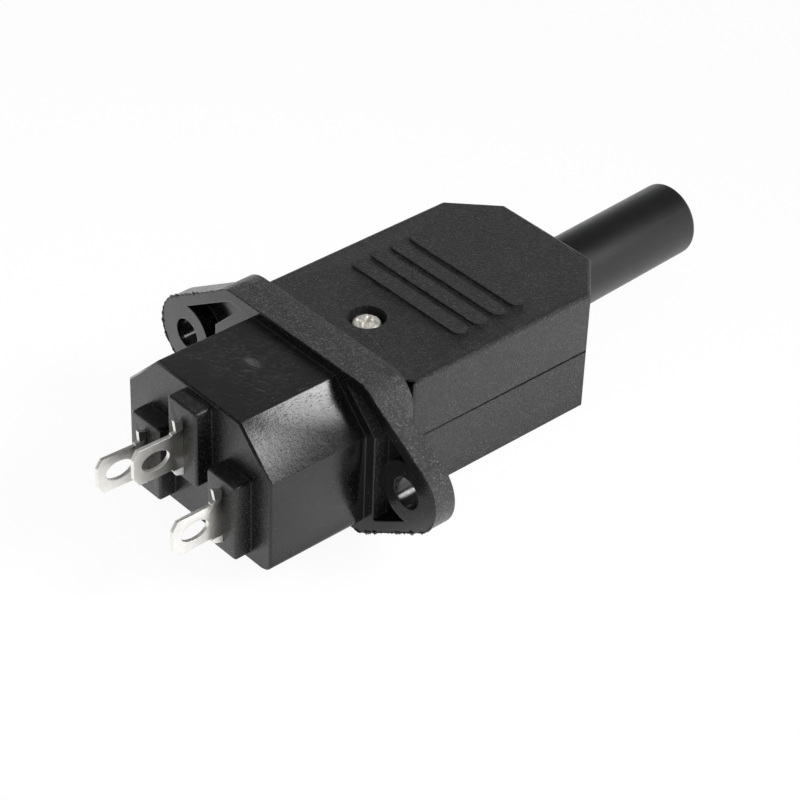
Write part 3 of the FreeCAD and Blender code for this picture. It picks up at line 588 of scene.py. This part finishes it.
class Tree:
    """Geometry Nodes tree built in code, with named inputs."""

    def __init__(self, name, sizes):
        self.tree = bpy.data.node_groups.new(name, "GeometryNodeTree")
        face = self.tree.interface
        face.new_socket("Geometry", in_out="INPUT", socket_type="NodeSocketGeometry")
        for label, (kind, value) in sizes.items():
            face.new_socket(label, in_out="INPUT", socket_type=kind).default_value = value
        face.new_socket("Geometry", in_out="OUTPUT", socket_type="NodeSocketGeometry")
        self.inputs = self.tree.nodes.new("NodeGroupInput").outputs
        self.output = self.tree.nodes.new("NodeGroupOutput").inputs[0]

    def node(self, kind, settings=None, inputs=None, out=0):
        made = self.tree.nodes.new(kind)
        for name, setting in (settings or {}).items():
            setattr(made, name, setting)
        for name, value in (inputs or {}).items():
            if isinstance(value, bpy.types.NodeSocket):
                self.tree.links.new(value, made.inputs[name])
            else:
                made.inputs[name].default_value = value
        return made.outputs[out]

    def math(self, operation, *numbers):
        return self.node("ShaderNodeMath", {"operation": operation}, dict(enumerate(numbers)))

    def result(self, shape, mesh, material, sizes):
        """Runs the tree on a mesh with these sizes and returns the plain mesh it makes."""
        whole = self.node("GeometryNodeRealizeInstances", {}, {"Geometry": shape})
        painted = self.node("GeometryNodeSetMaterial", {}, {
            "Geometry": whole, "Material": material})
        self.tree.links.new(painted, self.output)
        carrier = bpy.data.objects.new("carrier", mesh)
        bpy.context.scene.collection.objects.link(carrier)
        run = carrier.modifiers.new("run", "NODES")
        run.node_group = self.tree
        for item in self.tree.interface.items_tree:
            if item.in_out == "INPUT" and item.name in sizes:
                run[item.identifier] = sizes[item.name]
        bpy.context.view_layer.update()
        evaluated = carrier.evaluated_get(bpy.context.evaluated_depsgraph_get())
        made = bpy.data.meshes.new_from_object(evaluated)
        bpy.data.objects.remove(carrier)
        return made


def make_flash():
    """Ragged fin that the mould left along the rear edge of the flange."""
    tree = Tree("mould_flash_tree", {
        "Step": ("NodeSocketFloat", 0.11 * MM), "Height": ("NodeSocketFloat", 0.3 * MM),
        "Thickness": ("NodeSocketFloat", 0.5), "Seed": ("NodeSocketInt", 5)})
    sizes = tree.inputs
    line = tree.node("GeometryNodeMeshToCurve", {}, {"Mesh": sizes["Geometry"]})
    line = tree.node("GeometryNodeResampleCurve", {"mode": "LENGTH"}, {
        "Curve": line, "Length": sizes["Step"]})
    place = tree.node("GeometryNodeInputPosition")
    patches = tree.node("ShaderNodeTexNoise", {}, {
        "Vector": place, "Scale": 0.30 / MM, "Detail": 2.0})
    patches = tree.node("ShaderNodeMapRange", {}, {
        "Value": patches, "From Min": 0.35, "From Max": 0.55, "To Min": 0.25, "To Max": 1.0})
    ragged = tree.node("FunctionNodeRandomValue", {"data_type": "FLOAT"}, {
        2: 0.05, 3: 0.55, "Seed": sizes["Seed"]}, 1)
    waves = tree.node("ShaderNodeTexNoise", {}, {"Vector": place, "Scale": 1.3 / MM, "Detail": 1.0})
    waves = tree.node("ShaderNodeMapRange", {}, {
        "Value": waves, "From Min": 0.40, "From Max": 0.62, "To Min": 0.0, "To Max": 0.6})
    ragged = tree.math("ADD", ragged, waves)
    across = tree.node("ShaderNodeSeparateXYZ", {}, {"Vector": place}, "Y")
    left = tree.node("ShaderNodeMapRange", {}, {
        "Value": across, "From Min": 14 * MM, "From Max": 19 * MM, "To Min": 0.0, "To Max": 1.0})
    right = tree.node("ShaderNodeMapRange", {}, {
        "Value": across, "From Min": -13 * MM, "From Max": -9 * MM, "To Min": 1.0, "To Max": 0.0})
    below = tree.node("ShaderNodeMapRange", {}, {
        "Value": tree.node("ShaderNodeSeparateXYZ", {}, {"Vector": place}, "Z"),
        "From Min": -5 * MM, "From Max": -1 * MM, "To Min": 1.0, "To Max": 0.0})
    worst = tree.math("ADD", left, tree.math("MULTIPLY", right, below))
    amount = tree.math("MULTIPLY", patches, tree.math("MULTIPLY_ADD", worst, 0.72, 0.28))
    height = tree.math("MULTIPLY", tree.math("MULTIPLY", amount, ragged), sizes["Height"])
    line = tree.node("GeometryNodeSetCurveNormal", {"mode": "FREE"}, {
        "Curve": line, "Normal": (1.0, 0.0, 0.0)})
    ring = tree.node("GeometryNodeCurvePrimitiveCircle", {}, {"Resolution": 4, "Radius": 1.0})
    thin = tree.node("ShaderNodeCombineXYZ", {}, {"X": sizes["Thickness"], "Y": 1.0, "Z": 1.0})
    ring = tree.node("GeometryNodeTransform", {}, {"Geometry": ring, "Scale": thin})
    fin = tree.node("GeometryNodeCurveToMesh", {}, {
        "Curve": line, "Profile Curve": ring, "Scale": height})
    points = [p * MM for p in flange_line()]
    count = len(points)
    mesh = bpy.data.meshes.new("flange_line")
    mesh.from_pydata(points, [(i, (i + 1) % count) for i in range(count)], [])
    return tree.result(fin, mesh, inlet, {"Height": FLASH_HEIGHT * MM, "Seed": 11})


def make_gate_mark():
    """Rough oval left on top of the body where the moulding's gate was cut off."""
    middle = Vector((*GATE_MARK, BODY_TOP))
    long_radius, short_radius = 1.2, 0.65
    rim_height, pit_height, crown, sunk = 0.05, 0.05, 0.02, -0.03
    rings, spokes = 9, 40
    bm = bmesh.new()
    hub = bm.verts.new((middle + Vector((0, 0, pit_height))) * MM)
    loops = []
    for i in range(1, rings + 1):
        loop = []
        for k in range(spokes):
            angle = math.tau * k / spokes
            share = i / rings
            c, s = math.cos(angle), math.sin(angle)
            spot = Vector((short_radius * c, long_radius * s, 0)) * share
            spot *= 1 + 0.08 * noise.noise(Vector((c * 2, s * 2, 1)))
            rough = noise.noise(Vector((spot.x * 4, spot.y * 4, 5)))
            rim = math.exp(-((share - 0.8) / 0.14) ** 2)
            spot.z = rim_height * rim + pit_height * rough * (1 - share) + crown * (1 - share)
            if i == rings:
                spot.z = sunk
            loop.append(bm.verts.new((middle + spot) * MM))
        loops.append(loop)
    for k in range(spokes):
        j = (k + 1) % spokes
        bm.faces.new((hub, loops[0][k], loops[0][j]))
        for inner, outer in zip(loops, loops[1:]):
            bm.faces.new((inner[k], outer[k], outer[j], inner[j]))
    bm.faces.new(loops[-1][::-1])
    bmesh.ops.recalc_face_normals(bm, faces=bm.faces)
    return as_mesh(bm, 60)


rebuild("inlet_body", inlet, "inlet", "inlet_plastic", BODY_EDGE)
rebuild("upper_shell", housing, "connector", "housing_plastic", FINE_EDGE, draw_back_corners)
rebuild("lower_shell", housing, "connector", "housing_plastic", FINE_EDGE, open_seam)
rebuild("contact_block", housing, "connector", "housing_plastic", BLOCK_EDGE)
rebuild("cable_boot", rubber, "connector", "boot_rubber", BOOT_EDGE, lean_boot, segments=3)
for pin, (height, twist, lift) in PIN_SHAPES.items():
    rebuild(pin, tin, "inlet", "tinned_brass", FINE_EDGE, twist_teeth(height, twist, lift))
screw = make_screw((SCREW_X, 0.0), top=7.82, reach=1.78, seat=6.9, shank=1.1, tip=-5.1, turn=0.6)
add_piece("cover_screw", screw, nickel, "connector", "screw_steel", "shell_screw")
add_piece("mould_flash", make_flash(), inlet, "inlet", "inlet_plastic")
add_piece("gate_mark", make_gate_mark(), inlet, "inlet", "inlet_plastic")
for name in nodes:
    if name == "cord_clamp":
        dress(name, housing)
    elif name.startswith("contact_") and name != "contact_block":
        dress(name, brass)
    elif name.startswith(("wire_plate", "terminal_screw", "clamp_screw")):
        dress(name, nickel)


# ---------------------------------------------------------------- floor, lamps and camera


def lay_floor():
    """Pale floor that touches the flange's foot and the rear of the housing; its reflections carry
    painted light and shadow.
    """
    front = Vector((0.0, 0.0, -FLANGE_HALF_HEIGHT)) * MM
    rear = Vector((SHELL_REAR_X, 0.0, -SHELL_TOP)) * MM
    slope = (rear - front).normalized()
    across = Vector((0.0, 1.0, 0.0))
    half = 1.5
    corners = [front + slope * (u * half) + across * (v * half)
               for u, v in ((-1, -1), (1, -1), (1, 1), (-1, 1))]
    mesh = bpy.data.meshes.new("floor")
    mesh.from_pydata(corners, [], [(0, 1, 2, 3)])
    floor = bpy.data.objects.new("floor", mesh)
    bpy.context.scene.collection.objects.link(floor)
    g = Graph("floor_paper")
    glossy = g.seen_by("Glossy", "Transmission")
    seen = g.seen_by("Camera") * 0.90 + glossy
    paper = g.node("ShaderNodeBsdfDiffuse", {}, {
        "Color": g.mix(g.noise(0.4, 3.0), (0.90, 0.90, 0.90), (0.93, 0.93, 0.93))})
    # Painted light and shadow in the floor that glossy rays see: brighter on two sides, and darker
    # under the connector, where its shadow falls.
    lit_right = g.blend(g.x, -14.0, 10.0) - 0.8 * g.blend(g.x, 46.0, 62.0)
    lit_left = g.blend(g.y, 20.0, 28.0) * g.blend(g.x, -22.0, -14.0)
    painted_shadow_under = g.near(g.x, 14.0, 26.0, 6.0) * g.near(g.y, 0.0, 12.5, 6.0)
    mirrored = 0.12 + 0.42 * lit_right + 0.35 * lit_left - 0.75 * painted_shadow_under
    white = g.node("ShaderNodeEmission", {}, {
        "Color": (1, 1, 1, 1), "Strength": 1.045 + glossy * mirrored})
    g.end(g.node("ShaderNodeMixShader", {}, {0: g.clamp(seen), 1: paper, 2: white}))
    mesh.materials.append(g.material)


def light_world(soft, overhead):
    """White backdrop; the light it gives is soft, and glossy surfaces see it dim overhead."""
    world = bpy.data.worlds.new("studio")
    bpy.context.scene.world = world
    g = Nodes(world, "ShaderNodeOutputWorld")
    direction = g.node("ShaderNodeTexCoord", out="Generated")
    height = g.node("ShaderNodeSeparateXYZ", {}, {"Vector": direction}, "Z")
    ceiling = g.blend(height, 0.05, 0.42)
    mirrored = 1 - ceiling * (1 - overhead)
    glossy = g.seen_by("Glossy")
    clear = g.seen_by("Camera", "Transmission")
    level = clear + (1 - clear) * (glossy * mirrored + (1 - glossy) * soft)
    g.end(g.node("ShaderNodeBackground", {}, {"Color": (1, 1, 1, 1), "Strength": level}))


def add_lamp(name, direction, distance, width, height, radiance, target, spread=180):
    """Soft box that faces a target in millimetres; its sizes are in metres, spread in degrees."""
    data = bpy.data.lights.new(name, "AREA")
    data.shape = "RECTANGLE"
    data.size = width
    data.size_y = height
    data.energy = radiance * math.pi * width * height
    data.spread = math.radians(spread)
    lamp = bpy.data.objects.new(name, data)
    away = Vector(direction).normalized()
    lamp.location = Vector(target) * MM + away * distance
    lamp.rotation_mode = "QUATERNION"
    lamp.rotation_quaternion = (-away).to_track_quat("-Z", "Y")
    bpy.context.scene.collection.objects.link(lamp)


def set_camera():
    """Camera at the photograph's place: turned about the part, looking down and slightly rolled."""
    azimuth, elevation, roll = (math.radians(a) for a in (-42.8507, 36.7241, 2.2249))
    look = Vector((11.1294, -6.3996, 0.0)) * MM
    distance = 318.8555 * MM
    focal_pixels = 2705.1974
    image_pixels = 800
    back = Vector((math.sin(azimuth) * math.cos(elevation),
                   -math.cos(azimuth) * math.cos(elevation), math.sin(elevation)))
    right = Vector((math.cos(azimuth), math.sin(azimuth), 0.0))
    up = back.cross(right)
    rolled_right = right * math.cos(roll) + up * math.sin(roll)
    rolled_up = up * math.cos(roll) - right * math.sin(roll)
    data = bpy.data.cameras.new("camera")
    data.sensor_width = 36.0
    data.lens = focal_pixels / image_pixels * data.sensor_width
    data.clip_start = 0.01
    data.clip_end = 10.0
    camera = bpy.data.objects.new("camera", data)
    turned = Matrix((rolled_right, rolled_up, back)).transposed().to_4x4()
    camera.matrix_world = Matrix.Translation(look + back * distance) @ turned
    bpy.context.scene.collection.objects.link(camera)
    bpy.context.scene.camera = camera


lay_floor()
light_world(soft=0.40, overhead=0.15)
add_lamp("key_box", direction=(0.500, -0.612, 0.608), distance=0.24, width=0.12, height=0.10,
         radiance=0.88, target=(-8, -10, 7), spread=42)
add_lamp("low_strip", direction=(0.58, -0.80, 0.12), distance=0.45, width=0.34, height=0.10,
         radiance=1.0, target=(5, 0, 0))
set_camera()
bpy.context.scene.view_settings.view_transform = "Standard"
